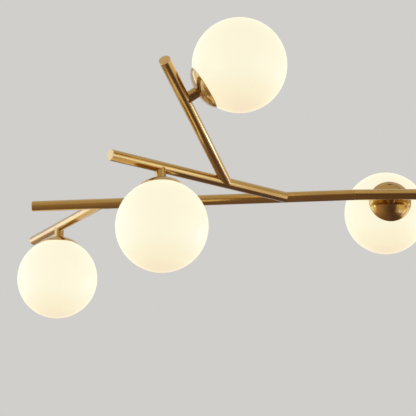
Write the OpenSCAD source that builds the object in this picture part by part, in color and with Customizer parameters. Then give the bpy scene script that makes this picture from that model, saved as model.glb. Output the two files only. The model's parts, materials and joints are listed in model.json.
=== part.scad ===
// Branch chandelier: eight opal glass globes on a spreading frame of straight
// brass tubes, hung from a ceiling canopy by a jointed swivel and two rods.
//
// The origin is the centre of the ceiling face. +Z is up, +X runs along the
// centre tube and +Y away from the viewer. The left half of the frame is
// modelled, and half a turn about the rod gives the right half.

/* [Frame] */
// Ceiling face down to the axis of the main tubes
drop = 640; // [520:5:900]
// Centre tube, from mitre to mitre
centre_l = 300; // [260:1:380]
// Outer main tube, from its mitre to its free end
main_l = 580; // [540:1:680]
// Backward turn of the outer main tube, in degrees
main_turn = 5.5; // [2:0.5:12]
// Near branch, distance of its root from the mitre
near_at = 121; // [80:1:200]
// Near branch, length from its root
near_l = 368; // [330:1:440]
// Near branch, forward turn, in degrees
near_turn = 38.5; // [30:0.5:50]
// Rising branch, distance of its root along the near branch
rise_at = 133; // [90:1:180]
// Rising branch, length from its root
rise_l = 308; // [280:1:380]
// Rising branch, forward turn, in degrees
rise_turn = 71.5; // [65:0.5:85]
// Rising branch, upward tilt, in degrees
rise_tilt = 20; // [10:1:30]
// Far branch, distance of its root from the mitre
far_at = 454; // [380:1:500]
// Far branch, length from its root
far_l = 291; // [260:1:360]
// Far branch, backward turn, in degrees
far_turn = 56.5; // [45:0.5:75]

/* [Lamp places] */
// Far lamp, distance along the far branch
far_lamp_at = 173; // [130:1:210]
// Near lamp, distance along the near branch
near_lamp_at = 271; // [220:1:290]
// Near lamp, lean of its stem out of the vertical, in degrees
near_lamp_lean = 3.5; // [0:0.5:15]
// High lamp, distance along the rising branch
high_lamp_at = 216; // [170:1:240]
// High lamp, angle of its stem above the level, in degrees
high_lamp_roll = 34.5; // [10:0.5:60]
// Centre lamp, distance from the rod along the centre tube
centre_lamp_at = 84; // [50:1:100]
// Centre lamp, angle of its stem below the level, in degrees
centre_lamp_dip = 2; // [0:0.5:20]

/* [Tubes] */
// Outside diameter of every frame tube
tube_d = 19; // [18.5:0.5:25]
// Wall of the frame tubes
tube_wall = 1.2; // [1:0.1:1.8]
// Hole that passes the wires through a tube wall
wire_hole_d = 8; // [6:0.5:9]
// Thickness of the visible disc of an end plug
plug_head = 1.5; // [1:0.1:3]
// Length of an end plug inside its tube
plug_l = 8; // [4:0.5:14]
// Chamfer on the edge of an end plug
plug_chamfer = 0.4; // [0.2:0.1:0.8]
// Reach of a mitre sleeve into each tube
sleeve_reach = 20; // [12:1:25]
// Wall of a mitre sleeve
sleeve_wall = 2; // [1:0.1:2.5]

/* [Lamp heads] */
// Outside diameter of a stem
stem_d = 18; // [15:0.5:18]
// Stem length between the tube's surface and the cap's flat seat
stem_l = 12.5; // [8:0.5:30]
// Diameter of a cap at its rim
cap_d = 75; // [66:0.5:84]
// Depth of a cap's dome, before its crown is pressed flat for the stem
cap_h = 15; // [13.5:0.5:20]
// Wall of a cap
cap_wall = 1; // [0.6:0.1:1.4]
// Radius of a cap's shoulder
cap_shoulder = 14; // [11:0.5:15]
// Depth of the shoulder's centre below the rim
cap_sink = 4.4; // [3:0.1:6]
// Diameter of a glass globe
globe_d = 150; // [130:1:180]
// Wall of a globe
glass_wall = 2.5; // [1.5:0.1:3.5]
// Step between a cap's rim and its globe
rim_gap = 1; // [0.9:0.1:3]
// Outside diameter of a globe's screw neck
neck_d = 30; // [28:0.5:34]
// Clearance between glass and metal
glass_clear = 0.4; // [0.3:0.05:0.8]
// Wall of the threaded ring in a cap
ring_wall = 2; // [1.2:0.1:3]
// Room for the seal above a glass neck
seal_t = 0.8; // [0.5:0.1:1.5]

/* [Lamps] */
// Diameter of the ceramic lampholder
holder_d = 20; // [17:0.5:21]
// Length of the lampholder's body
holder_l = 16; // [14:0.5:20]
// Diameter of the lampholder's threaded boss
boss_d = 15; // [13:0.5:16]
// Length of the lampholder's threaded boss
boss_l = 5; // [4:0.5:8]
// Depth of the lampholder's slot
slot_depth = 12; // [8:0.5:13]
// Play of a bulb's base in the slot, each side
slot_play = 0.2; // [0.1:0.05:0.4]
// Diameter of a bulb
bulb_d = 16; // [12:0.5:18]
// Length of a bulb's envelope
bulb_l = 42; // [30:1:50]
// Width of a bulb's flat base
base_w = 13; // [9:0.5:14]
// Thickness of a bulb's flat base
base_t = 6.5; // [4:0.5:8]
// Step between a bulb's envelope and its lampholder
bulb_gap = 0.5; // [0.3:0.1:2]

/* [Threaded pipe] */
// Outside diameter of the hollow threaded pipe
pipe_d = 10; // [9:0.5:11]
// Bore of the hollow threaded pipe
pipe_bore = 6.8; // [5:0.1:7.2]
// Width of a nut across its flats
nut_af = 14; // [13:0.5:15]
// Thickness of a nut
nut_t = 2.5; // [2:0.1:3.5]
// Length of pipe held in a stem
pipe_grip = 8; // [5:0.5:10]
// Diameter of the wires where they run together
wire_d = 4; // [3:0.1:4.5]

/* [Rods] */
// Outside diameter of the hanging rods
rod_d = 13; // [12:0.5:16]
// Length of pipe held in each end of a rod
rod_grip = 12; // [8:0.5:20]
// Diameter of the coupling between the rods
coupling_d = 17; // [16.5:0.5:22]
// Length of the coupling between the rods
coupling_l = 16; // [10:0.5:30]
// Diameter of the socket on the centre tube
socket_d = 18; // [15:0.5:18]
// Socket length between the centre tube's surface and the rod
socket_l = 24; // [22:0.5:40]

/* [Canopy] */
// Diameter of the canopy
canopy_d = 130; // [124:1:160]
// Depth of the canopy
canopy_h = 28; // [26:0.5:40]
// Wall of the canopy
canopy_wall = 1.2; // [0.8:0.1:2]
// Outer radius of the canopy's lower edge
canopy_round = 8; // [3:0.5:10]
// Length of the ceiling bracket
bracket_l = 112; // [108:0.5:114]
// Width of the ceiling bracket
bracket_w = 24; // [20:0.5:30]
// Thickness of the ceiling bracket
bracket_t = 2; // [1.5:0.1:3]
// Distance between the two screw slots
slot_spacing = 88.9; // [84:0.1:90]
// Width of a screw slot
slot_w = 4.6; // [4:0.1:6]
// Length of a screw slot, end to end
slot_l = 13; // [8:0.5:15]
// Distance of the earth screw from the middle of the bracket
earth_at = 22; // [15:0.5:28]
// Diameter of the earth screw
earth_d = 4; // [3:0.5:5]
// Diameter of the earth screw's head
earth_head_d = 8; // [6:0.5:9]
// Height of the earth screw's head
earth_head_h = 2.2; // [1.5:0.1:3]
// Diameter of a wire connector at its mouth
connector_d = 11; // [8:0.5:13]
// Height of a wire connector
connector_h = 16; // [12:0.5:18]
// Distance of the wire connectors from the bracket's centre line
connector_at = 34; // [28:1:45]

/* [Swivel] */
// Outside diameter of the swivel
swivel_d = 24; // [22:0.5:30]
// Height of the swivel's cover
cover_h = 6; // [4:0.5:10]
// Length of the cover's thread in the swivel's cup
cover_thread = 6; // [4:0.5:8]
// Room above the shank's head, where the stop pins pass
stop_room = 2; // [1.5:0.1:4]
// Diameter of a stop pin
stop_d = 2; // [1.5:0.1:2.2]
// Floor of the swivel's cup, which carries the shank's head
floor_t = 6; // [4:0.5:9]
// Diameter of the turning shank
shank_d = 10; // [9:0.5:12]
// Diameter of the shank's head
head_d = 15; // [14:0.5:16]
// Thickness of the shank's head
head_t = 4; // [3:0.5:5]
// Running clearance on each radius of the swivel
run_clear = 0.05; // [0.02:0.01:0.09]
// Diameter of the tilt pin
pin_d = 5; // [4:0.5:6]
// Radius of the fork's cheeks round the pin
cheek_r = 8; // [7:0.1:8.5]
// Thickness of a fork cheek
cheek_t = 5; // [4.5:0.5:6]
// Thickness of the knuckle's tongue
tongue_t = 8; // [7:0.5:10]
// Gap between the tongue and each cheek
cheek_gap = 0.1; // [0.05:0.05:0.4]
// Thickness of the fork's crown
crown_t = 8; // [5:0.5:12]
// Diameter of the knuckle's socket
knuckle_d = 17; // [16:0.5:19]
// Length of the knuckle's socket
knuckle_l = 20; // [17:0.5:30]

/* [Hidden] */
$fn = 96;
eps = 1;                                // overshoot of a cut
far_out = 2 * globe_d;                  // size of a cutting block

tube_r = tube_d / 2;
bore_r = tube_r - tube_wall;
// Each branch is a hair slimmer than the tube that carries it, so that its
// coped end doesn't run out to two sharp points.
cope_step = 0.05;
near_tube_r = tube_r - cope_step;
far_tube_r = tube_r - cope_step;
rise_tube_r = near_tube_r - cope_step;
plug_play = 0.05;                       // end plug in its tube
sleeve_play = 0.05;                     // mitre sleeve in its tubes
pipe_r = pipe_d / 2;
pipe_bore_r = pipe_bore / 2;
wire_r = wire_d / 2;

function unit(v) = v / norm(v);
// A direction outwards on the left: turned back by turn and up by tilt.
function heading(turn, tilt) =
    [-cos(tilt) * cos(turn), cos(tilt) * sin(turn), sin(tilt)];

// Tube axes of the left half: roots and directions
main_dir = heading(main_turn, 0);
near_dir = heading(-near_turn, 0);
rise_dir = heading(-rise_turn, rise_tilt);
far_dir = heading(far_turn, 0);
mitre_dir = heading(main_turn / 2, 0);
hub_p = [0, 0, -drop];
mitre_p = hub_p - [centre_l / 2, 0, 0];
near_p = mitre_p + near_at * main_dir;
far_p = mitre_p + far_at * main_dir;
rise_p = near_p + rise_at * near_dir;

// Lamps of the left half: the foot of the stem on the tube's axis, the
// direction of the stem, and the direction of the tube that carries it
FAR = 0;
NEAR = 1;
HIGH = 2;
CENTRE = 3;
LAMPS = [FAR, NEAR, HIGH, CENTRE];
LEFT = 0;
RIGHT = 180;
SIDES = [LEFT, RIGHT];
down = [0, 0, -1];
near_side = unit(cross([0, 0, 1], near_dir));
high_side = unit(cross([0, 0, 1], rise_dir));
high_up = cross(rise_dir, high_side);
lamp_foot = [
    far_p + far_lamp_at * far_dir,
    near_p + near_lamp_at * near_dir,
    rise_p + high_lamp_at * rise_dir,
    hub_p - [centre_lamp_at, 0, 0]
];
lamp_dir = [
    down,
    cos(near_lamp_lean) * down + sin(near_lamp_lean) * near_side,
    cos(high_lamp_roll) * high_side + sin(high_lamp_roll) * high_up,
    [0, cos(centre_lamp_dip), -sin(centre_lamp_dip)]
];
carrier_dir = [far_dir, near_dir, rise_dir, [1, 0, 0]];
carrier_r = [far_tube_r, near_tube_r, rise_tube_r, tube_r];

// Levels in a lamp head, measured along its stem from the tube's axis
cap_r = cap_d / 2;
globe_r = globe_d / 2;
cap_top = tube_r + stem_l;
cap_in = cap_top + cap_wall;
nut_end = cap_in + nut_t;
boss_end = nut_end + boss_l;
holder_end = boss_end + holder_l;
slot_floor = holder_end - slot_depth;
bulb_start = holder_end + bulb_gap;
bulb_tip = bulb_start + bulb_l;
neck_r = neck_d / 2;
neck_in_r = neck_r - glass_wall;
ring_r = neck_r + glass_clear;
seal_play = 0.1;                        // seal inside the threaded ring
seal_gap = 0.05;                        // seal clear of the turning glass

// A cap's section: a flat seat for the stem and the nut, a dome arc about
// the stem, then a shoulder arc tangent to it. Heights are measured up from
// the rim.
shoulder_x = cap_r - sqrt(pow(cap_shoulder, 2) - pow(cap_sink, 2));
shoulder_rise = cap_h + cap_sink;
dome_r = (pow(shoulder_x, 2) + pow(shoulder_rise, 2) - pow(cap_shoulder, 2))
    / (2 * (shoulder_rise - cap_shoulder));
dome_y = cap_h - dome_r;
seat_r = max(stem_d, nut_af / cos(30) + cap_wall) / 2;
seat_h = dome_y + sqrt(pow(dome_r, 2) - pow(seat_r, 2));
rim_u = cap_top + seat_h;
globe_u = rim_u + rim_gap + sqrt(pow(globe_r, 2) - pow(cap_r, 2));
ring_end = globe_u - sqrt(pow(globe_r, 2) - pow(ring_r, 2)) - glass_clear;
// Height of a cap's inner face above its rim, at radius r in its dome
function cap_inner(r) = dome_y + sqrt(pow(dome_r - cap_wall, 2) - r * r);
seal_u = rim_u - cap_inner(ring_r - seal_play);
neck_top = seal_u + seal_t;

// Levels down the hanging gear
canopy_z = -canopy_h;
cover_z = canopy_z - cover_h;
stop_z = cover_z - cover_thread;        // lower end of the cover's thread
chamber_z = stop_z - stop_room - head_t;
swivel_z = chamber_z - floor_t;
crown_play = 0.3;                       // between swivel and fork
tongue_play = 1;                        // tongue's end to the crown
tongue_step = 0.5;                      // tongue inside the cheeks' outline
tongue_r = cheek_r - tongue_step;
crown_z = swivel_z - crown_play - crown_t;
pin_z = crown_z - tongue_play - tongue_r;
knuckle_play = 1.5;                     // cheeks' ends to the knuckle
knuckle_z = pin_z - cheek_r - knuckle_play; // top of the knuckle's socket
rod_top = knuckle_z - knuckle_l;
rod_end = -drop + tube_r + socket_l;
rod_mid = (rod_top + rod_end) / 2;

chamber_play = 0.5;                     // round the shank's head
chamber_r = head_d / 2 + chamber_play;
stop_reach = stop_room - 0.3;           // length of a stop pin
stop_inset = 0.8;                       // stop pins inside the head's edge
stop_at = (head_d - stop_d) / 2 - stop_inset; // stop pins, off the axis
lead_r = wire_r + 0.4;                  // hole for the wires
fork_w = tongue_t + 2 * cheek_gap + 2 * cheek_t;

// ---- helpers ----

// Turns +Z onto the direction d.
module face(d) {
    rotate([0, acos(d.z), atan2(d.y, d.x)]) children();
}

// The left half as drawn, or the right half by half a turn about the rod.
module half(side) {
    rotate([0, 0, side]) children();
}

// A round bar of radius r from p along d.
module bar(p, d, l, r) {
    translate(p) face(d) cylinder(h = l, r = r);
}

// A tube with its lower end at the origin.
module pipe(l, r_out, r_in) {
    difference() {
        cylinder(h = l, r = r_out);
        translate([0, 0, -eps]) cylinder(h = l + 2 * eps, r = r_in);
    }
}

module hex_nut() {
    difference() {
        cylinder(h = nut_t, r = nut_af / 2 / cos(30), $fn = 6);
        translate([0, 0, -eps]) cylinder(h = nut_t + 2 * eps, r = pipe_r);
    }
}

// ---- ceiling gear ----

module screw_slot() {
    reach = (slot_l - slot_w) / 2;
    depth = bracket_t + 2 * eps;
    translate([0, 0, -bracket_t - eps]) {
        for (s = [-1, 1])
            translate([s * reach, 0, 0]) cylinder(h = depth, d = slot_w);
        translate([-reach, -slot_w / 2, 0]) cube([2 * reach, slot_w, depth]);
    }
}

module mounting_bracket() {
    color("lightsteelblue") difference() {
        translate([-bracket_l / 2, -bracket_w / 2, -bracket_t])
            cube([bracket_l, bracket_w, bracket_t]);
        for (s = [-1, 1])
            translate([s * slot_spacing / 2, 0, 0]) screw_slot();
        translate([0, 0, -bracket_t - eps])
            cylinder(h = bracket_t + 2 * eps, r = pipe_r);
        translate([earth_at, 0, -bracket_t - eps])
            cylinder(h = bracket_t + 2 * eps, d = earth_d);
    }
}

// Half section of the canopy's outside, or of its hollow inset by the wall.
module canopy_section(inset) {
    r = canopy_d / 2 - inset;
    round_r = canopy_round - inset;
    floor_z = canopy_z + inset;
    top = inset > 0 ? eps : 0;
    translate([0, floor_z]) square([r - round_r, top - floor_z]);
    translate([0, floor_z + round_r])
        square([r, top - floor_z - round_r]);
    translate([r - round_r, floor_z + round_r]) circle(r = round_r);
}

module canopy() {
    color("darkgoldenrod") difference() {
        rotate_extrude() canopy_section(0);
        rotate_extrude() canopy_section(canopy_wall);
        translate([0, 0, canopy_z - eps])
            cylinder(h = canopy_wall + 2 * eps, r = pipe_r);
    }
}

module canopy_pipe() {
    color("silver") translate([0, 0, cover_z])
        pipe(-cover_z, pipe_r, pipe_bore_r);
}

module canopy_nuts() {
    color("silver") {
        translate([0, 0, -bracket_t - nut_t]) hex_nut();
        translate([0, 0, canopy_z + canopy_wall]) hex_nut();
    }
}

module earth_screw() {
    color("seagreen") translate([earth_at, 0, -bracket_t]) {
        cylinder(h = bracket_t, d = earth_d);
        translate([0, 0, -earth_head_h])
            cylinder(h = earth_head_h, d = earth_head_d);
    }
}

// The two connectors stand on the canopy's floor, mouths up.
module wire_connectors() {
    wall = 1.5;
    color("orange") for (s = [-1, 1])
        translate([s * connector_d, connector_at, canopy_z + canopy_wall])
            difference() {
                cylinder(h = connector_h, d1 = connector_d - 2 * wall,
                    d2 = connector_d);
                translate([0, 0, connector_h / 2])
                    cylinder(h = connector_h, d = connector_d - 3 * wall);
            }
}

// ---- swivel ----

// The cover screws into the cup and carries the fixed stop pin.
module swivel_cover() {
    color("goldenrod") {
        difference() {
            union() {
                translate([0, 0, cover_z]) cylinder(h = cover_h, d = swivel_d);
                translate([0, 0, stop_z])
                    cylinder(h = cover_thread + eps, r = chamber_r);
            }
            translate([0, 0, cover_z])
                cylinder(h = cover_h + eps, r = pipe_r);
            translate([0, 0, stop_z - eps])
                cylinder(h = cover_thread + 2 * eps, r = pipe_bore_r);
        }
        translate([-stop_at, 0, stop_z - stop_reach])
            cylinder(h = stop_reach + eps, d = stop_d);
    }
}

module swivel_body() {
    color("goldenrod") difference() {
        translate([0, 0, swivel_z])
            cylinder(h = cover_z - swivel_z, d = swivel_d);
        translate([0, 0, chamber_z])
            cylinder(h = cover_z - chamber_z + eps, r = chamber_r);
        translate([0, 0, swivel_z - eps])
            cylinder(h = floor_t + 2 * eps, r = shank_d / 2 + run_clear);
    }
}

// The fork turns in the cup on its headed shank. Its two cheeks hold the
// tilt pin, and a stop pin stands on its head.
module swivel_fork() {
    slot_w = tongue_t + 2 * cheek_gap;
    crown_top = swivel_z - crown_play;
    color("darkkhaki") difference() {
        union() {
            translate([0, 0, chamber_z]) cylinder(h = head_t, d = head_d);
            translate([stop_at, 0, chamber_z])
                cylinder(h = head_t + stop_reach, d = stop_d);
            translate([0, 0, crown_z])
                cylinder(h = chamber_z + eps - crown_z, d = shank_d);
            intersection() {
                translate([0, 0, pin_z - cheek_r])
                    cylinder(h = crown_top - pin_z + cheek_r, d = fork_w);
                union() {
                    translate([-fork_w, -cheek_r, pin_z])
                        cube([2 * fork_w, 2 * cheek_r, crown_top - pin_z]);
                    translate([-fork_w, 0, pin_z]) rotate([0, 90, 0])
                        cylinder(h = 2 * fork_w, r = cheek_r);
                }
            }
        }
        translate([-slot_w / 2, -fork_w, pin_z - 2 * cheek_r])
            cube([slot_w, 2 * fork_w, crown_z - pin_z + 2 * cheek_r]);
        translate([-fork_w, 0, pin_z]) rotate([0, 90, 0])
            cylinder(h = 2 * fork_w, d = pin_d);
        translate([0, 0, pin_z])
            cylinder(h = stop_z - pin_z, r = lead_r);
    }
}

module swivel_pin() {
    color("silver") translate([-fork_w / 2, 0, pin_z]) rotate([0, 90, 0])
        cylinder(h = fork_w, d = pin_d);
}

// The knuckle swings on the tilt pin. Its wires leave by a side hole.
module swivel_knuckle() {
    side_z = (pin_z - pin_d / 2 + knuckle_z) / 2;
    color("goldenrod") difference() {
        union() {
            translate([-tongue_t / 2, 0, pin_z]) rotate([0, 90, 0])
                cylinder(h = tongue_t, r = tongue_r);
            translate([-tongue_t / 2, -tongue_r, knuckle_z - eps])
                cube([tongue_t, 2 * tongue_r, pin_z - knuckle_z + eps]);
            translate([0, 0, rod_top]) cylinder(h = knuckle_l, d = knuckle_d);
        }
        translate([-tongue_t, 0, pin_z]) rotate([0, 90, 0])
            cylinder(h = 2 * tongue_t, r = pin_d / 2 + run_clear);
        translate([0, 0, rod_top - eps])
            cylinder(h = rod_grip + eps, r = pipe_r);
        translate([0, 0, rod_top])
            cylinder(h = side_z - rod_top, r = lead_r);
        translate([0, tongue_r + eps, side_z]) rotate([90, 0, 0])
            cylinder(h = tongue_r + eps, r = lead_r);
    }
}

// ---- rods ----

module rod_upper() {
    color("goldenrod") translate([0, 0, rod_mid + coupling_l / 2])
        pipe(rod_top - rod_mid - coupling_l / 2, rod_d / 2, pipe_r);
}

module rod_coupling() {
    color("darkgoldenrod") translate([0, 0, rod_mid - coupling_l / 2])
        pipe(coupling_l, coupling_d / 2, pipe_r);
}

module rod_lower() {
    color("goldenrod") translate([0, 0, rod_end])
        pipe(rod_mid - coupling_l / 2 - rod_end, rod_d / 2, pipe_r);
}

// Threaded pipes at the knuckle, in the coupling and in the socket.
module rod_pipes() {
    color("silver") {
        translate([0, 0, rod_top - rod_grip])
            pipe(2 * rod_grip, pipe_r, pipe_bore_r);
        translate([0, 0, rod_mid - coupling_l / 2 - rod_grip])
            pipe(coupling_l + 2 * rod_grip, pipe_r, pipe_bore_r);
        translate([0, 0, rod_end - rod_grip])
            pipe(2 * rod_grip, pipe_r, pipe_bore_r);
    }
}

module rod_socket() {
    color("darkgoldenrod") difference() {
        bar(hub_p, -down, tube_r + socket_l, socket_d / 2);
        cope(hub_p, [1, 0, 0], tube_r);
        bar(hub_p, -down, tube_r + socket_l + eps, pipe_r);
    }
}

// ---- frame ----

// The outside of a long tube, which copes a branch or a stem to its surface.
module cope(p, d, r) {
    bar(p - far_out * d, d, 2 * far_out, r);
}

// A hole through the near wall of a tube, from its axis outwards.
module wire_hole(p, d) {
    bar(p, d, tube_d, wire_hole_d / 2);
}

module lamp_hole(k) {
    wire_hole(lamp_foot[k], lamp_dir[k]);
}

// A tube from p along d, open at both ends, less its end plug's disc.
module frame_tube(p, d, l, r) {
    difference() {
        bar(p, d, l - plug_head, r);
        bar(p - eps * d, d, l + 2 * eps, bore_r);
    }
}

// The half space on one side of the mitre, outwards when out is 1.
module mitre_block(out) {
    translate(mitre_p) face(mitre_dir)
        translate([-far_out / 2, -far_out / 2, out > 0 ? 0 : -far_out])
            cube(far_out);
}

// The two main tubes and the centre tube start this far past their mitres.
mitre_over = tube_r;

module centre_tube() {
    start = mitre_p - [mitre_over, 0, 0];
    length = centre_l + 2 * mitre_over;
    color("goldenrod") difference() {
        bar(start, [1, 0, 0], length, tube_r);
        bar(start - [eps, 0, 0], [1, 0, 0], length + 2 * eps, bore_r);
        for (side = SIDES) half(side) {
            mitre_block(1);
            lamp_hole(CENTRE);
        }
        wire_hole(hub_p, -down);
    }
}

module main_tube() {
    color("goldenrod") difference() {
        frame_tube(mitre_p - mitre_over * main_dir, main_dir,
            main_l + mitre_over, tube_r);
        mitre_block(-1);
        wire_hole(near_p, near_dir);
        wire_hole(far_p, far_dir);
    }
}

module near_branch() {
    color("goldenrod") difference() {
        frame_tube(near_p, near_dir, near_l, near_tube_r);
        cope(near_p, main_dir, tube_r);
        wire_hole(rise_p, rise_dir);
        lamp_hole(NEAR);
    }
}

module rising_branch() {
    color("goldenrod") difference() {
        frame_tube(rise_p, rise_dir, rise_l, rise_tube_r);
        cope(rise_p, near_dir, near_tube_r);
        lamp_hole(HIGH);
    }
}

module far_branch() {
    color("goldenrod") difference() {
        frame_tube(far_p, far_dir, far_l, far_tube_r);
        cope(far_p, main_dir, tube_r);
        lamp_hole(FAR);
    }
}

// A straight hollow sleeve across each mitre joins the two tubes. It is as
// wide as the bend lets it be at its two ends.
module mitre_sleeves() {
    sleeve_r = (bore_r - sleeve_play) * cos(main_turn / 2)
        - sleeve_reach * sin(main_turn / 2);
    color("peru") for (side = SIDES) half(side)
        translate(mitre_p - sleeve_reach * mitre_dir) face(mitre_dir)
            pipe(2 * sleeve_reach, sleeve_r, sleeve_r - sleeve_wall);
}

// A plug with its chamfered disc against the end of a tube of length l.
module end_plug(p, d, l, r) {
    translate(p + (l - plug_head) * d) face(d) {
        cylinder(h = plug_head - plug_chamfer, r = r);
        translate([0, 0, plug_head - plug_chamfer])
            cylinder(h = plug_chamfer, r1 = r, r2 = r - plug_chamfer);
        translate([0, 0, -plug_l])
            cylinder(h = plug_l, r = bore_r - plug_play);
    }
}

module end_plugs() {
    color("khaki") for (side = SIDES) half(side) {
        end_plug(mitre_p, main_dir, main_l, tube_r);
        end_plug(near_p, near_dir, near_l, near_tube_r);
        end_plug(rise_p, rise_dir, rise_l, rise_tube_r);
        end_plug(far_p, far_dir, far_l, far_tube_r);
    }
}

// ---- lamp heads ----

// Lamp k of the left half, with +Z along its stem from the tube's axis.
module lamp(k) {
    translate(lamp_foot[k]) face(lamp_dir[k]) children();
}

// The same piece at all eight lamps, as separate solids.
module at_lamps() {
    for (side = SIDES, k = LAMPS)
        half(side) lamp(k) children();
}

// A stem, coped to the tube that carries it.
module stem(k) {
    color("goldenrod") difference() {
        lamp(k) cylinder(h = cap_top, d = stem_d);
        cope(lamp_foot[k], carrier_dir[k], carrier_r[k]);
        lamp(k) cylinder(h = cap_top + eps, r = pipe_r);
    }
}

// Half section of a cap's outside, or of its hollow inset by the wall, with
// its heights measured up from the rim.
module dome_section(inset) {
    low = inset > 0 ? eps : 0;
    reach = 3;                          // of the dome's sector, past the arc
    intersection() {
        translate([0, -low]) square([cap_r + eps, seat_h - inset + low]);
        union() {
            intersection() {
                translate([0, dome_y]) circle(r = dome_r - inset);
                polygon([
                    [0, dome_y],
                    [reach * shoulder_x,
                        dome_y - reach * (cap_sink + dome_y)],
                    [0, dome_y + reach * dome_r]
                ]);
            }
            translate([shoulder_x, -cap_sink])
                circle(r = cap_shoulder - inset);
        }
    }
}

// The same section in the lamp head, whose stem runs up the page.
module head_section(inset) {
    translate([0, rim_u]) mirror([0, 1]) dome_section(inset);
}

module cap(k) {
    color("darkgoldenrod") lamp(k) difference() {
        rotate_extrude() head_section(0);
        rotate_extrude() head_section(cap_wall);
        cylinder(h = rim_u, r = pipe_r);
    }
}

// An opal globe with its screw neck, which turns in the cap's threaded ring.
module globe(k) {
    color("ivory") lamp(k) difference() {
        union() {
            translate([0, 0, globe_u]) sphere(r = globe_r);
            translate([0, 0, neck_top])
                cylinder(h = globe_u - neck_top, r = neck_r);
        }
        translate([0, 0, globe_u]) sphere(r = globe_r - glass_wall);
        translate([0, 0, neck_top - eps])
            cylinder(h = globe_u - neck_top, r = neck_in_r);
    }
}

module lamp_pipes() {
    color("silver") at_lamps() translate([0, 0, cap_top - pipe_grip])
        pipe(boss_end - cap_top + pipe_grip, pipe_r, pipe_bore_r);
}

module lamp_nuts() {
    color("silver") at_lamps() translate([0, 0, cap_in]) hex_nut();
}

// The threaded ring is joined to the cap's inner face.
module glass_rings() {
    color("silver") at_lamps() rotate_extrude() intersection() {
        head_section(cap_wall);
        translate([ring_r, cap_top]) square([ring_wall, ring_end - cap_top]);
    }
}

module neck_seals() {
    color("dimgray") at_lamps() translate([0, 0, seal_u])
        pipe(seal_t - seal_gap, ring_r - seal_play, neck_in_r);
}

module lampholders() {
    slot_size = [base_w + 2 * slot_play, base_t + 2 * slot_play];
    color("white") at_lamps() difference() {
        union() {
            translate([0, 0, nut_end]) cylinder(h = boss_l + eps, d = boss_d);
            translate([0, 0, boss_end]) cylinder(h = holder_l, d = holder_d);
        }
        translate([0, 0, nut_end - eps])
            cylinder(h = boss_l + eps, r = pipe_r);
        translate([-slot_size.x / 2, -slot_size.y / 2, slot_floor])
            cube([slot_size.x, slot_size.y, slot_depth + eps]);
    }
}

module bulbs() {
    color("lightyellow") at_lamps() {
        translate([-base_w / 2, -base_t / 2, slot_floor])
            cube([base_w, base_t, bulb_start - slot_floor + eps]);
        translate([0, 0, bulb_start])
            cylinder(h = bulb_l - bulb_d / 2, d = bulb_d);
        translate([0, 0, bulb_tip - bulb_d / 2]) sphere(d = bulb_d);
    }
}

// ---- wiring ----

// A straight run of the wires from a to b.
module wire_run(a, b, r) {
    bar(a, unit(b - a), norm(b - a), r);
}

// The loom thins out as the wires part for the branches and the lamps.
module wiring() {
    branch_r = 0.85 * wire_r;
    rise_r = 0.7 * wire_r;
    lamp_r = 0.55 * wire_r;
    bend_r = 1.3 * wire_r;
    color("dimgray") {
        bar(hub_p, -down, rod_top + drop, 0.9 * wire_r);
        wire_run(mitre_p, [-mitre_p.x, 0, -drop], wire_r);
        for (side = SIDES) half(side) {
            translate(mitre_p) sphere(r = bend_r);
            wire_run(mitre_p, far_p, wire_r);
            wire_run(far_p, lamp_foot[FAR], branch_r);
            wire_run(near_p, lamp_foot[NEAR], branch_r);
            wire_run(rise_p, lamp_foot[HIGH], rise_r);
            for (k = LAMPS) bar(lamp_foot[k], lamp_dir[k], boss_end, lamp_r);
        }
    }
}

// ---- the nodes ----

mounting_bracket();
canopy();
canopy_pipe();
canopy_nuts();
earth_screw();
wire_connectors();
swivel_cover();
swivel_body();
swivel_fork();
swivel_pin();
swivel_knuckle();
rod_upper();
rod_coupling();
rod_lower();
rod_pipes();
rod_socket();
centre_tube();
half(LEFT) main_tube();  // main_tube_left
half(RIGHT) main_tube();  // main_tube_right
half(LEFT) near_branch();  // near_branch_left
half(RIGHT) near_branch();  // near_branch_right
half(LEFT) rising_branch();  // rising_branch_left
half(RIGHT) rising_branch();  // rising_branch_right
half(LEFT) far_branch();  // far_branch_left
half(RIGHT) far_branch();  // far_branch_right
mitre_sleeves();
end_plugs();
half(LEFT) stem(FAR);  // stem_far_left
half(LEFT) stem(NEAR);  // stem_near_left
half(LEFT) stem(HIGH);  // stem_high_left
half(LEFT) stem(CENTRE);  // stem_centre_left
half(RIGHT) stem(FAR);  // stem_far_right
half(RIGHT) stem(NEAR);  // stem_near_right
half(RIGHT) stem(HIGH);  // stem_high_right
half(RIGHT) stem(CENTRE);  // stem_centre_right
half(LEFT) cap(FAR);  // cap_far_left
half(LEFT) cap(NEAR);  // cap_near_left
half(LEFT) cap(HIGH);  // cap_high_left
half(LEFT) cap(CENTRE);  // cap_centre_left
half(RIGHT) cap(FAR);  // cap_far_right
half(RIGHT) cap(NEAR);  // cap_near_right
half(RIGHT) cap(HIGH);  // cap_high_right
half(RIGHT) cap(CENTRE);  // cap_centre_right
half(LEFT) globe(FAR);  // globe_far_left
half(LEFT) globe(NEAR);  // globe_near_left
half(LEFT) globe(HIGH);  // globe_high_left
half(LEFT) globe(CENTRE);  // globe_centre_left
half(RIGHT) globe(FAR);  // globe_far_right
half(RIGHT) globe(NEAR);  // globe_near_right
half(RIGHT) globe(HIGH);  // globe_high_right
half(RIGHT) globe(CENTRE);  // globe_centre_right
lamp_pipes();
lamp_nuts();
glass_rings();
neck_seals();
lampholders();
bulbs();
wiring();
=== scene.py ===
"""The looks of the branch chandelier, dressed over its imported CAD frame."""

import json
import math

import bmesh
import bpy
import numpy as np
from mathutils import Matrix, Vector


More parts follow.
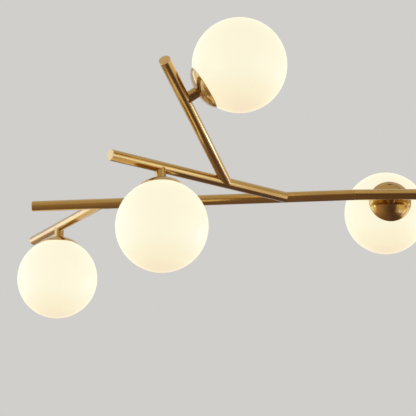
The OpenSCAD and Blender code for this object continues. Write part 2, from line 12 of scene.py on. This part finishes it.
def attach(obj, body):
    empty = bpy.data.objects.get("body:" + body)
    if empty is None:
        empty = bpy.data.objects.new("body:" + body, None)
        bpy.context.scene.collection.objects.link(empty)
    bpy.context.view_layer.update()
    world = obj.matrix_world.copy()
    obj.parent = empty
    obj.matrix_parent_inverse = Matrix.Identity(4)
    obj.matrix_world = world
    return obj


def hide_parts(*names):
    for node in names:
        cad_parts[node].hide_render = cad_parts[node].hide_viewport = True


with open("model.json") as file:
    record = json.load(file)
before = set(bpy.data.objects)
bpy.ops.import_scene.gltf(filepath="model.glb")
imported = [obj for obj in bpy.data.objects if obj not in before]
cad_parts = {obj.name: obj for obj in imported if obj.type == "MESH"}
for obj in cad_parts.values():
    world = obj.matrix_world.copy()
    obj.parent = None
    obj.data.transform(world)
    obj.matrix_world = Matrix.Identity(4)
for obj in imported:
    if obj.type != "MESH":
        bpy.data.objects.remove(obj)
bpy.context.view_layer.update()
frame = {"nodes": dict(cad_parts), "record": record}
NODES = frame["nodes"]
MM = 0.001


# ---- the frame's own places, as in the part's source (millimetres) ----

def heading(turn, tilt):
    """A direction outwards on the left: turned back by turn, up by tilt."""
    a, b = math.radians(turn), math.radians(tilt)
    return Vector((-math.cos(b) * math.cos(a), math.cos(b) * math.sin(a),
                   math.sin(b)))


DROP = 640
TUBE_R = 9.5
# Each branch is this much slimmer than the tube that carries it.
COPE_STEP = 0.05
BRANCH_R = TUBE_R - COPE_STEP
RISE_R = TUBE_R - 2 * COPE_STEP
SOCKET_R = 9.0
STEM_R, STEM_L = 9.0, 12.5
PIPE_R = 5.0
CAP_R, CAP_H, CAP_WALL = 37.5, 15.0, 1.0
CAP_SHOULDER, CAP_SINK = 14.0, 4.4
GLOBE_R, GLASS, RIM_GAP = 75.0, 2.5, 1.0
NECK_R, GLASS_CLEAR = 15.0, 0.4
SEAL_T, SEAL_PLAY = 0.8, 0.1

MAIN_TURN = 5.5
MAIN = heading(MAIN_TURN, 0)
NEAR = heading(-38.5, 0)
RISE = heading(-71.5, 20)
FAR = heading(56.5, 0)
UP, DOWN = Vector((0, 0, 1)), Vector((0, 0, -1))
ACROSS = Vector((1, 0, 0))
HUB = Vector((0, 0, -DROP))
# Half the centre tube, and where each branch starts along its carrier.
CENTRE_HALF, NEAR_AT, FAR_AT, RISE_AT = 150, 121, 454, 133
MITRE = HUB - CENTRE_HALF * ACROSS
NEAR_P = MITRE + NEAR_AT * MAIN
FAR_P = MITRE + FAR_AT * MAIN
RISE_P = NEAR_P + RISE_AT * NEAR
# Where the lamps stand along their tubes, and how three of them are turned.
FAR_LAMP_AT, NEAR_LAMP_AT, HIGH_LAMP_AT, CENTRE_LAMP_AT = 173, 271, 216, 84
LEAN, ROLL, DIP = map(math.radians, (3.5, 34.5, 2))
NEAR_SIDE = UP.cross(NEAR).normalized()
HIGH_SIDE = UP.cross(RISE).normalized()
HIGH_UP = RISE.cross(HIGH_SIDE)
# Each lamp's foot on its tube, its way out along the stem, and the tube's
# direction and radius.
LAMPS = {
    "far": (FAR_P + FAR_LAMP_AT * FAR, DOWN, FAR, BRANCH_R),
    "near": (NEAR_P + NEAR_LAMP_AT * NEAR,
             math.cos(LEAN) * DOWN + math.sin(LEAN) * NEAR_SIDE, NEAR,
             BRANCH_R),
    "high": (RISE_P + HIGH_LAMP_AT * RISE,
             math.cos(ROLL) * HIGH_SIDE + math.sin(ROLL) * HIGH_UP, RISE,
             RISE_R),
    "centre": (HUB - CENTRE_LAMP_AT * ACROSS,
               Vector((0, math.cos(DIP), -math.sin(DIP))), ACROSS, TUBE_R),
}
# Each branch's foot and direction, its radius, and its carrier's direction and
# radius.
JOINTS = {
    "near": (NEAR_P, NEAR, BRANCH_R, MAIN, TUBE_R),
    "rising": (RISE_P, RISE, RISE_R, NEAR, BRANCH_R),
    "far": (FAR_P, FAR, BRANCH_R, MAIN, TUBE_R),
}
HALF = {"left": Matrix.Identity(3),
        "right": Matrix.Rotation(math.pi, 3, "Z")}

# Section of a cap's solid: a dome arc, then a shoulder arc tangent to it. The
# levels along the stem (U) follow from it.
SHOULDER_X = CAP_R - math.sqrt(CAP_SHOULDER ** 2 - CAP_SINK ** 2)
SHOULDER_RISE = CAP_H + CAP_SINK
DOME_R = ((SHOULDER_X ** 2 + SHOULDER_RISE ** 2 - CAP_SHOULDER ** 2)
          / (2 * (SHOULDER_RISE - CAP_SHOULDER)))
DOME_Y = CAP_H - DOME_R
SEAT_H = DOME_Y + math.sqrt(DOME_R ** 2 - STEM_R ** 2)
RIM_U = TUBE_R + STEM_L + SEAT_H
GLOBE_U = RIM_U + RIM_GAP + math.sqrt(GLOBE_R ** 2 - CAP_R ** 2)
SEAL_R = NECK_R + GLASS_CLEAR - SEAL_PLAY
SEAL_U = RIM_U - (DOME_Y + math.sqrt((DOME_R - CAP_WALL) ** 2 - SEAL_R ** 2))
NECK_TOP = SEAL_U + SEAL_T


# ---- camera and lights ----

# The camera that was fitted to the photograph: its focal length in pixels of
# the picture, its place in metres, and its turns up and to the left.
FOCAL_PX, IMAGE_PX, SENSOR = 1181.3, 416, 36.0
CAMERA_AT = (-0.3644, -1.9818, -1.2729)
CAMERA_UP, CAMERA_LEFT = 17.117, 1.265
cam_data = bpy.data.cameras.new("camera")
cam_data.sensor_width = SENSOR
cam_data.lens = SENSOR * FOCAL_PX / IMAGE_PX
cam_data.clip_start, cam_data.clip_end = 0.05, 60
cam = bpy.data.objects.new("camera", cam_data)
bpy.context.scene.collection.objects.link(cam)
cam.location = CAMERA_AT
cam.rotation_euler = (math.radians(90 + CAMERA_UP), 0,
                      math.radians(CAMERA_LEFT))
bpy.context.scene.camera = cam
bpy.context.scene.view_settings.view_transform = "Standard"

# The middle of the lamps that the photograph shows, in metres.
MIDDLE = Vector((-0.42, -0.05, -0.64))


def way_to(lon, lat):
    """The direction at a turn from the viewer to the right, and a height."""
    a, b = math.radians(lon), math.radians(lat)
    return Vector((math.sin(a) * math.cos(b), -math.cos(a) * math.cos(b),
                   math.sin(b)))


def soft_box(name, lon, lat, span, distance, radiance, colour):
    """A soft box that fills span degrees, turned to the lamps' middle."""
    data = bpy.data.lights.new(name, "AREA")
    data.shape = "RECTANGLE"
    wide, high = (2 * distance * math.tan(math.radians(x / 2)) for x in span)
    data.size, data.size_y = wide, high
    data.energy = radiance * math.pi * wide * high
    data.color = colour
    light = bpy.data.objects.new(name, data)
    bpy.context.scene.collection.objects.link(light)
    light.location = MIDDLE + distance * way_to(lon, lat)
    aim = MIDDLE - light.location
    light.rotation_euler = aim.to_track_quat("-Z", "Y").to_euler()
    light.visible_camera = False


WALL_LIGHT = (1.0, 1.4, 2.1)
LEFT_LIGHT = (1.0, 1.35, 1.9)
RIGHT_LIGHT = (1.0, 1.3, 1.9)
DAYLIGHT = (1.0, 1.6, 2.9)
for box in (("left_wall", -96, 0, (58, 62), 2.9, 0.45, WALL_LIGHT),
            ("left_window", -117, 5, (12, 46), 2.4, 0.55, LEFT_LIGHT),
            ("left_front", -74, 2, (34, 44), 2.9, 0.40, WALL_LIGHT),
            ("left_lamp", -57, -2, (12, 14), 2.9, 3.2, WALL_LIGHT),
            ("right_front", 57, -7, (30, 34), 2.9, 0.75, WALL_LIGHT),
            ("right_wall", 84, -20, (30, 56), 2.9, 0.45, WALL_LIGHT),
            ("right_side", 95, -12, (12, 44), 2.8, 0.60, RIGHT_LIGHT),
            ("right_window", 117, -6, (14, 19), 2.7, 3.2, DAYLIGHT)):
    soft_box(*box)


def seen_rays(tree):
    """One for a camera, glossy or transmission ray, and zero for the rest."""
    path = tree.nodes.new("ShaderNodeLightPath")
    total = path.outputs["Is Camera Ray"]
    for ray in ("Is Glossy Ray", "Is Transmission Ray"):
        add = tree.nodes.new("ShaderNodeMath")
        add.operation = "ADD"
        add.use_clamp = True
        tree.links.new(total, add.inputs[0])
        tree.links.new(path.outputs[ray], add.inputs[1])
        total = add.outputs[0]
    return total


# The world is a faint fill for the light that falls on things, and the plain
# backdrop where it is seen.
FILL, FILL_STRENGTH = (0.95, 0.95, 1.0), 0.14
BACKDROP, BACKDROP_STRENGTH = (0.631, 0.623, 0.604), 1.0
world = bpy.data.worlds.new("world")
bpy.context.scene.world = world
world.use_nodes = True
sky = world.node_tree
sky.nodes.clear()
sky_out = sky.nodes.new("ShaderNodeOutputWorld")
sky_mix = sky.nodes.new("ShaderNodeMixShader")
sky.links.new(sky_mix.outputs[0], sky_out.inputs["Surface"])
sky.links.new(seen_rays(sky), sky_mix.inputs["Fac"])
for place, colour, strength in ((1, FILL, FILL_STRENGTH),
                                (2, BACKDROP, BACKDROP_STRENGTH)):
    glow = sky.nodes.new("ShaderNodeBackground")
    glow.inputs["Color"].default_value = (*colour, 1)
    glow.inputs["Strength"].default_value = strength
    sky.links.new(glow.outputs[0], sky_mix.inputs[place])


# ---- materials ----

class Shader:
    """A principled material with short helpers for its nodes."""

    def __init__(self, name, **sockets):
        self.mat = bpy.data.materials.new(name)
        self.mat.use_nodes = True
        self.tree = self.mat.node_tree
        self.bsdf = self.tree.nodes["Principled BSDF"]
        for key, value in sockets.items():
            self.bsdf.inputs[key.replace("_", " ")].default_value = value

    def node(self, kind, **settings):
        """A new node with its settings, or values for its sockets."""
        n = self.tree.nodes.new(kind)
        for key, value in settings.items():
            if hasattr(n, key):
                setattr(n, key, value)
            else:
                n.inputs[key.replace("_", " ")].default_value = value
        return n

    def link(self, a, b):
        """A wire from an output to an input."""
        self.tree.links.new(a, b)

    def into(self, value, socket):
        """Feeds one of the material's own sockets."""
        self.link(value, self.bsdf.inputs[socket])

    def coords(self):
        """Object coordinates, in metres."""
        return self.node("ShaderNodeTexCoord").outputs["Object"]

    def mapped(self, vector, **settings):
        """A vector scaled, turned or moved."""
        n = self.node("ShaderNodeMapping", vector_type="POINT", **settings)
        self.link(vector, n.inputs["Vector"])
        return n.outputs[0]

    def split(self, vector):
        """The three parts of a vector."""
        n = self.node("ShaderNodeSeparateXYZ")
        self.link(vector, n.inputs[0])
        return n.outputs

    def along(self, axis, fine, run):
        """Object coordinates scaled by fine across an axis and run along."""
        turn = Vector(axis).to_track_quat("Z", "Y").inverted().to_euler()
        turned = self.mapped(self.coords(), Rotation=turn)
        return self.mapped(turned, Scale=(fine, fine, run))

    def noise(self, vector, scale, detail=3.0, rough=0.55):
        """A cloudy pattern from 0 to 1 in space."""
        n = self.node("ShaderNodeTexNoise", Scale=scale, Detail=detail,
                      Roughness=rough)
        self.link(vector, n.inputs["Vector"])
        return n.outputs["Fac"]

    def noise_on_line(self, value, scale, detail):
        """The same pattern along a single value."""
        n = self.node("ShaderNodeTexNoise", Scale=scale, Detail=detail)
        n.noise_dimensions = "1D"
        self.link(value, n.inputs["W"])
        return n.outputs["Fac"]

    def calc(self, operation, *values):
        """A sum, product or root of other outputs."""
        n = self.node("ShaderNodeMath", operation=operation)
        for value, socket in zip(values, n.inputs):
            self.link(value, socket)
        return n.outputs[0]

    def span(self, value, low, high, to_low, to_high):
        """A value carried from one range over to another, and held there."""
        n = self.node("ShaderNodeMapRange")
        for i, x in enumerate((low, high, to_low, to_high)):
            n.inputs[i + 1].default_value = x
        self.link(value, n.inputs[0])
        return n.outputs[0]

    def ramp(self, value, *stops):
        """A colour for each value, from pairs of a place and its colour."""
        n = self.node("ShaderNodeValToRGB")
        elements = n.color_ramp.elements
        while len(elements) < len(stops):
            elements.new(0.5)
        for e, (at, colour) in zip(elements, stops):
            e.position = at
            e.color = (*colour, 1)
        self.link(value, n.inputs["Fac"])
        return n.outputs["Color"]

    def blend(self, how, a, b):
        """Two colours multiplied or added."""
        n = self.node("ShaderNodeMix", data_type="RGBA", blend_type=how)
        n.inputs[0].default_value = 1.0
        self.link(a, n.inputs[6])
        self.link(b, n.inputs[7])
        return n.outputs[2]

    def bump(self, height, strength, distance):
        """Fine relief from a pattern."""
        n = self.node("ShaderNodeBump", Strength=strength, Distance=distance)
        self.link(height, n.inputs["Height"])
        self.into(n.outputs[0], "Normal")


BRASS_DARK = (0.54, 0.295, 0.044)
BRASS = (0.61, 0.352, 0.058)
BRASS_LIGHT = (0.67, 0.405, 0.078)
PATINA = (0.86, 0.83, 0.78)
# Scales of the patterns on brushed brass, across and along, and of the rings.
STREAKS, BANDS = (1400, 4), (190, 1.6)
FINE_RINGS, WIDE_RINGS = 2600, 420


def lacquered(name):
    """The start of a brass material: metal under a clear coat."""
    return Shader(name, Metallic=1.0, Coat_Weight=1.0, Coat_IOR=1.6,
                  Coat_Roughness=0.11)


def age(s, lines, bands, cloud, light, rough, pale=0.0):
    """Aged brass from its patterns: fine lines, bands of tone and patina."""
    # light scales the whole tone and pale moves it towards white. Some pieces
    # use them for lit or shaded copies of the same brass, which is painted
    # light and shade.
    dark, middle, bright = (tuple(light * (x + pale) for x in c)
                            for c in (BRASS_DARK, BRASS, BRASS_LIGHT))
    tone = s.ramp(bands, (0.34, dark), (0.52, middle), (0.68, bright))
    patina = s.ramp(cloud, (0.35, PATINA), (0.6, (1, 1, 1)))
    s.into(s.blend("MULTIPLY", tone, patina), "Base Color")
    s.into(s.span(lines, 0.3, 0.7, rough - 0.03, rough + 0.03), "Roughness")
    s.bump(lines, 0.006, 0.00001)
    return s.mat


def brass(name, axis, light=1.0, rough=0.2, pale=0.0):
    """Aged brass, brushed along an axis."""
    s = lacquered(name)
    streaks = s.noise(s.along(axis, *STREAKS), 1.0, 2.0, 0.6)
    bands = s.noise(s.along(axis, *BANDS), 1.0, 3.0, 0.6)
    return age(s, streaks, bands, s.noise(s.coords(), 9), light, rough, pale)


def spun_brass(name, foot, axis, light=1.0, rough=0.18):
    """Aged brass with fine rings about an axis through a foot."""
    s = lacquered(name)
    turn = Vector(axis).to_track_quat("Z", "Y").inverted()
    place = s.split(s.mapped(s.coords(), Rotation=turn.to_euler(),
                             Location=-(turn @ (Vector(foot) * MM))))
    radius = s.calc("SQRT", s.calc(
        "ADD", *(s.calc("MULTIPLY", x, x) for x in (place[0], place[1]))))
    rings = s.noise_on_line(radius, FINE_RINGS, 1.0)
    bands = s.noise_on_line(radius, WIDE_RINGS, 2.0)
    return age(s, rings, bands, s.noise(s.coords(), 14), light, rough)


def opal(name, centre):
    """Lit opal glass: warm and even, with painted shade that deepens its glow
    towards the bottom.
    """
    s = Shader(name, Roughness=0.42, IOR=1.45, Specular_IOR_Level=0.25,
               Emission_Strength=1.0)
    # Painted shade: the glow is deeper and dimmer towards the bottom of each
    # globe, set by height.
    place = s.mapped(s.coords(), Location=[-x * MM for x in centre])
    height = s.span(s.split(place)[2], -GLOBE_R * MM, GLOBE_R * MM, 0, 1)
    cloud = s.noise(s.coords(), 9, 2.0, 0.5)
    painted_foot_shade = s.node("ShaderNodeMath", operation="MULTIPLY_ADD")
    s.link(cloud, painted_foot_shade.inputs[0])
    painted_foot_shade.inputs[1].default_value = 0.12
    s.link(height, painted_foot_shade.inputs[2])
    s.into(s.ramp(painted_foot_shade.outputs[0], (0.04, (0.84, 0.71, 0.49)),
                  (0.15, (0.89, 0.805, 0.555)), (0.34, (0.90, 0.85, 0.635)),
                  (1.0, (0.90, 0.848, 0.64))), "Emission Color")
    s.into(s.ramp(cloud, (0.3, (0.25, 0.20, 0.15)), (0.7, (0.28, 0.22, 0.17))),
           "Base Color")
    s.bump(s.noise(s.coords(), 60, 1.0), 0.02, 0.0002)
    return s.mat


def plain(name, colour, rough, metallic=0.0):
    """A small fitting's finish, with slight mottling."""
    s = Shader(name, Metallic=metallic)
    cloud = s.noise(s.coords(), 180)
    shade = tuple(0.86 * x for x in colour)
    s.into(s.ramp(cloud, (0.3, shade), (0.7, colour)), "Base Color")
    s.into(s.span(cloud, 0.3, 0.7, rough - 0.04, rough + 0.06), "Roughness")
    s.bump(cloud, 0.1, 0.0001)
    return s.mat


# The finish for each of these material slots of the frame.
FINISH = {
    "zinc_plate": plain("zinc_plate", (0.62, 0.63, 0.64), 0.36, 1.0),
    "bare_steel": plain("bare_steel", (0.55, 0.55, 0.56), 0.25, 1.0),
    "ceramic": plain("ceramic", (0.86, 0.85, 0.82), 0.22),
    "bulb_glass": plain("bulb_glass", (0.92, 0.88, 0.78), 0.30),
    "silicone": plain("silicone", (0.03, 0.03, 0.03), 0.60),
    "earth_green": plain("earth_green", (0.02, 0.17, 0.05), 0.42),
    "connector_orange": plain("connector_orange", (0.78, 0.20, 0.02), 0.45),
    "insulation": plain("insulation", (0.04, 0.04, 0.04), 0.50),
    "raw_brass": brass("raw_brass", ACROSS, light=1.1, rough=0.34),
}
SOLDER = brass("solder_brass", (0.2, 0.3, 0.9), light=0.8, rough=0.36)

# The angle in degrees from which an edge is shown sharp.
CREASE = 35


def dress(node, material):
    """Gives a CAD node one material."""
    mesh = NODES[node].data
    mesh.materials.clear()
    mesh.materials.append(material)
    mesh.shade_smooth()
    mesh.set_sharp_from_angle(angle=math.radians(CREASE))


# ---- pieces ----

# Sections round a globe, a cap and a line of solder.
GLOBE_STEPS, CAP_STEPS, SOLDER_STEPS = 128, 112, 120


def frame_of(d):
    """Two unit vectors across a direction."""
    d = Vector(d).normalized()
    seed = UP if abs(d.z) < 0.9 else ACROSS
    u = seed.cross(d).normalized()
    return u, d.cross(u)


def spokes(u, v, around):
    """Directions round a circle in the plane of u and v."""
    for j in range(around):
        a = 2 * math.pi * j / around
        yield math.cos(a) * u + math.sin(a) * v


def hoop(around, n, sides):
    """Faces between sections of n points that stand round a hoop."""
    faces = []
    for j in range(around):
        k = (j + 1) % around
        for i in range(sides):
            m = (i + 1) % n
            faces.append((n * j + i, n * j + m, n * k + m, n * k + i))
    return faces


def piece_from(name, points, faces, material, body, nodes=()):
    """A smooth-shaded piece in millimetres, riding on a body."""
    mesh = bpy.data.meshes.new(name)
    mesh.from_pydata([tuple(MM * c for c in p) for p in points], [], faces)
    bm = bmesh.new()
    bm.from_mesh(mesh)
    bmesh.ops.remove_doubles(bm, verts=bm.verts, dist=1e-7)
    bmesh.ops.recalc_face_normals(bm, faces=bm.faces)
    limit = math.radians(CREASE)
    for f in bm.faces:
        f.smooth = True
    for e in bm.edges:
        e.smooth = not (len(e.link_faces) == 2
                        and e.calc_face_angle(0) > limit)
    bm.to_mesh(mesh)
    bm.free()
    mesh.materials.append(material)
    obj = bpy.data.objects.new(name, mesh)
    bpy.context.scene.collection.objects.link(obj)
    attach(obj, body)
    if nodes:
        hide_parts(*nodes)


def lathe(profile, foot, axis, around):
    """Points and faces of a profile turned about an axis."""
    d = Vector(axis).normalized()
    foot = Vector(foot)
    points = []
    for out in spokes(*frame_of(axis), around):
        points += [foot + h * d + r * out for r, h in profile]
    return points, hoop(around, len(profile), len(profile) - 1)


def arc(cx, cy, r, start, end, steps):
    """Points of an arc, in degrees from the first axis."""
    turns = [math.radians(start + (end - start) * t / steps)
             for t in range(steps + 1)]
    return [(cx + r * math.cos(a), cy + r * math.sin(a)) for a in turns]


# A cap is shown as a smooth bowl: part of an ellipse through crown and rim.
BOWL_A = 39.5
BOWL_B = CAP_H / (1 - math.sqrt(1 - (CAP_R / BOWL_A) ** 2))
# Degrees at which the bowl's outside and inside end, and over which its rim
# is rolled.
BOWL_OUT, BOWL_IN, ROLL_START, ROLL_END = 68, 65, 80, -200
# The rim's bead is a little thicker than the wall, and the flat seat ends just
# under the edge of the stem.
BEAD_R = 0.5 * CAP_WALL + 0.1
SEAT_R = STEM_R - 0.1


def bowl(phi, inset=0.0):
    """A point of a cap's smooth bowl, phi degrees round from its crown."""
    s, c = math.sin(math.radians(phi)), math.cos(math.radians(phi))
    n = Vector((s / BOWL_A, c / BOWL_B)).normalized()
    return (BOWL_A * s - inset * n.x, CAP_H - BOWL_B * (1 - c) - inset * n.y)


def cap_profile():
    """Outside of a cap from the pipe to a rolled rim, then its inside."""
    start = math.degrees(math.asin(STEM_R / BOWL_A))
    outer = [(PIPE_R, SEAT_H), (SEAT_R, SEAT_H)]
    outer += [bowl(a) for a in np.linspace(start, BOWL_OUT, 40)]
    roll = arc(CAP_R - BEAD_R, BEAD_R, BEAD_R, ROLL_START, ROLL_END, 12)
    inner = [bowl(a, CAP_WALL) for a in np.linspace(BOWL_IN, start + 1, 30)]
    inner.append((PIPE_R, SEAT_H - CAP_WALL))
    # Heights up from the rim become levels along the stem.
    return [(r, RIM_U - y) for r, y in outer + roll + inner]


def ball(r, start, end, steps):
    """Points of a globe's section, in degrees from the neck's middle."""
    turns = [math.radians(a) for a in np.linspace(start, end, steps)]
    return [(r * math.sin(a), GLOBE_U - r * math.cos(a)) for a in turns]


def globe_profile():
    """A globe from the lip of its neck round to the far pole and back."""
    inner_r, neck_in, soft = GLOBE_R - GLASS, NECK_R - GLASS, 0.5
    join = math.degrees(math.asin(NECK_R / GLOBE_R))
    join_in = math.degrees(math.asin(neck_in / inner_r))
    lip = [(neck_in, NECK_TOP + soft), (neck_in + soft, NECK_TOP),
           (NECK_R - soft, NECK_TOP), (NECK_R, NECK_TOP + soft)]
    return (lip + ball(GLOBE_R, join + 0.6, 180, 72)
            + ball(inner_r, 180, join_in, 36) + lip[:1])


def solder_ring(name, root, axis, r, carrier, carrier_r, turn, size):
    """The small fillet of solder where a round piece meets a tube."""
    root, d, a = turn @ root, turn @ axis, (turn @ carrier).normalized()

    def flat(w):
        """The part of a vector that is square to the tube."""
        return w - w.dot(a) * a

    edge, normals = [], []
    for out in spokes(*frame_of(d), SOLDER_STEPS):
        # The way t along the piece where its side meets the tube's.
        p, q = flat(r * out), flat(d)
        qa, qb, qc = q.dot(q), 2 * p.dot(q), p.dot(p) - carrier_r ** 2
        t = (-qb + math.sqrt(max(0.0, qb * qb - 4 * qa * qc))) / (2 * qa)
        at = r * out + t * d
        edge.append(at)
        normals.append((out, flat(at).normalized()))
    points = []
    for j, (nb, nc) in enumerate(normals):
        run = (edge[(j + 1) % SOLDER_STEPS] - edge[j - 1]).normalized()
        tb, tc = nb.cross(run).normalized(), nc.cross(run).normalized()
        tb = tb if tb.dot(nc) > 0 else -tb
        tc = tc if tc.dot(nb) > 0 else -tc
        p = root + edge[j]
        points += [p + size * tc, p + 0.29 * size * (tb + tc), p + size * tb,
                   p - 0.2 * (nb + nc)]
    piece_from(name, points, hoop(SOLDER_STEPS, 4, 4), SOLDER, "hanger")


def mitre_seam(name, turn):
    """The hairline of solder round a mitre, a tenth of a millimetre proud."""
    half = MAIN_TURN / 2
    d = heading(half, 0)
    across = UP.cross(d) / math.cos(math.radians(half))
    section = ((-0.22, -0.1), (-0.12, 0.06), (0, 0.1), (0.12, 0.06),
               (0.22, -0.1), (0, -0.2))
    points = []
    for out in spokes(across, UP, SOLDER_STEPS):
        points += [turn @ (MITRE + x * d + (TUBE_R + y) * out)
                   for x, y in section]
    n = len(section)
    piece_from(name, points, hoop(SOLDER_STEPS, n, n), SOLDER, "hanger")


# Widths of the fillets where a branch and a stem meet their tubes.
BRANCH_SOLDER, STEM_SOLDER = 0.5, 0.4

for side, turn in HALF.items():
    mitre_seam("seam_mitre_" + side, turn)
    for joint, (root, axis, r, carrier, carrier_r) in JOINTS.items():
        solder_ring("solder_%s_%s" % (joint, side), root, axis, r, carrier,
                    carrier_r, turn, BRANCH_SOLDER)
    for lamp, (foot, axis, carrier, carrier_r) in LAMPS.items():
        key = "%s_%s" % (lamp, side)
        solder_ring("solder_stem_" + key, foot, axis, STEM_R, carrier,
                    carrier_r, turn, STEM_SOLDER)
        where, way = turn @ foot, turn @ axis
        glass = opal("opal_" + key, where + GLOBE_U * way)
        points, faces = lathe(globe_profile(), where, way, GLOBE_STEPS)
        piece_from("globe_shell_" + key, points, faces, glass, "globe_" + key,
                   ["globe_" + key])
        metal = spun_brass("cap_brass_" + key, where, way)
        points, faces = lathe(cap_profile(), where, way, CAP_STEPS)
        piece_from("cap_shell_" + key, points, faces, metal, "hanger",
                   ["cap_" + key])
        # Painted shade: the stems' brass is a slightly darker copy of the same
        # brass.
        dress("stem_" + key, brass("stem_brass_" + key, way, light=0.95))
    for node, axis in (("main_tube", MAIN), ("near_branch", NEAR),
                       ("rising_branch", RISE), ("far_branch", FAR)):
        name = "%s_%s" % (node, side)
        dress(name, brass("brass_" + name, turn @ axis))

solder_ring("solder_socket", HUB, UP, SOCKET_R, ACROSS, TUBE_R, HALF["left"],
            STEM_SOLDER)
# Painted light: the centre tube's brass is a lighter copy of the same brass.
dress("centre_tube", brass("brass_centre_tube", ACROSS, light=1.08))
for node in ("rod_upper", "rod_lower", "rod_coupling", "rod_socket",
             "swivel_cover", "swivel_body", "swivel_knuckle", "swivel_fork"):
    dress(node, brass("brass_" + node, UP))
dress("canopy", spun_brass("brass_canopy", (0, 0, 0), UP, light=0.95,
                           rough=0.36))
# Painted highlight: the end plugs' brass is a lighter, paler copy of the same
# brass.
dress("end_plugs", brass("plug_brass", (0.3, 0.5, 0.8), light=1.12, rough=0.28,
                         pale=0.07))
for part in frame["record"]["subparts"]:
    if part["material_slot"] in FINISH:
        dress(part["node"], FINISH[part["material_slot"]])


# ---- stage (metres) ----

FLOOR_Z, FLOOR_HALF = -2.4, 12
# The dim side of the room, behind the viewer, which the metal mirrors: a wall
# and the boards in front of it.
DIM_LEFT, DIM_RIGHT, DIM_Y, DIM_TOP, DIM_RISE = -5, 1.5, -3.4, 0.55, -0.7
BOARDS_HALF, BOARDS_Z = 5, FLOOR_Z + 0.01
BOARDS_GLOW_HALF = 3
DIM_BASE = (0.03, 0.025, 0.02, 1)
WARM = (1.0, 0.69, 0.75)
WARM_LEFT = (1.0, 0.76, 0.62)


def stage_plane(name, corners, material):
    """A flat piece of the stage, which is no part of the object."""
    mesh = bpy.data.meshes.new(name)
    mesh.from_pydata(corners, [], [(0, 1, 2, 3)])
    mesh.materials.append(material)
    obj = bpy.data.objects.new(name, mesh)
    bpy.context.scene.collection.objects.link(obj)
    return obj


def level_corners(left, right, front, back, z):
    """The corners of a level rectangle."""
    return [(left, front, z), (right, front, z), (right, back, z),
            (left, back, z)]


def dim_glow(s, left, right, levels):
    """A glow by pairs of place across and level, yellower on the left."""
    across = s.span(s.split(s.coords())[0], left, right, 0, 1)
    return s.ramp(across, *[
        ((x - left) / (right - left),
         tuple(level * c for c in (WARM_LEFT if x < -1 else WARM)))
        for x, level in levels])


# The floor glows a little where it is seen, to be as pale as the backdrop.
floor_paint = Shader("floor_paint", Roughness=0.7,
                     Emission_Color=(0.98, 0.98, 1, 1))
floor_grain = floor_paint.noise(floor_paint.coords(), 3.0)
floor_paint.into(floor_paint.ramp(
    floor_grain, (0.3, (0.53, 0.475, 0.42)), (0.7, (0.58, 0.52, 0.46))),
    "Base Color")
floor_paint.bump(floor_grain, 0.02, 0.0001)
floor_paint.into(floor_paint.span(seen_rays(floor_paint.tree), 0, 1, 0, 0.5),
                 "Emission Strength")
stage_plane("floor", level_corners(-FLOOR_HALF, FLOOR_HALF, -FLOOR_HALF,
                                   FLOOR_HALF, FLOOR_Z), floor_paint.mat)

dim = Shader("dim_side", Roughness=0.9, Base_Color=DIM_BASE,
             Emission_Strength=1.0)
dim_up = dim.span(dim.split(dim.coords())[2], DIM_RISE, DIM_TOP, 0, 1)
dim.into(dim.blend(
    "ADD",
    dim_glow(dim, DIM_LEFT, DIM_RIGHT,
             ((-5, 0.60), (-3, 0.50), (-1.84, 0.40), (-1.2, 0.27),
              (-0.7, 0.20), (-0.2, 0.12), (0.6, 0.08), (1.1, 0.09),
              (1.5, 0.30))),
    dim.ramp(dim_up, (0.0, (0, 0, 0)), (1.0, (0.30, 0.28, 0.27)))),
    "Emission Color")
dim_wall = stage_plane("dim_side", [
    (DIM_LEFT, DIM_Y, FLOOR_Z), (DIM_RIGHT, DIM_Y, FLOOR_Z),
    (DIM_RIGHT, DIM_Y, DIM_TOP), (DIM_LEFT, DIM_Y, DIM_TOP)], dim.mat)

boards = Shader("dim_boards", Roughness=0.9, Base_Color=DIM_BASE,
                Emission_Strength=1.0)
boards.into(dim_glow(boards, -BOARDS_GLOW_HALF, BOARDS_GLOW_HALF,
                     ((-3, 0.50), (-1.9, 0.34), (-1.2, 0.25), (-0.4, 0.18),
                      (0.4, 0.10), (0.9, 0.10), (1.5, 0.14), (2.2, 0.45))),
            "Emission Color")
dim_floor = stage_plane("dim_floor", level_corners(
    -BOARDS_HALF, BOARDS_HALF, DIM_Y, BOARDS_HALF, BOARDS_Z), boards.mat)
for dark in (dim_wall, dim_floor):
    dark.visible_camera = False
    dark.visible_diffuse = False
    dark.visible_shadow = False
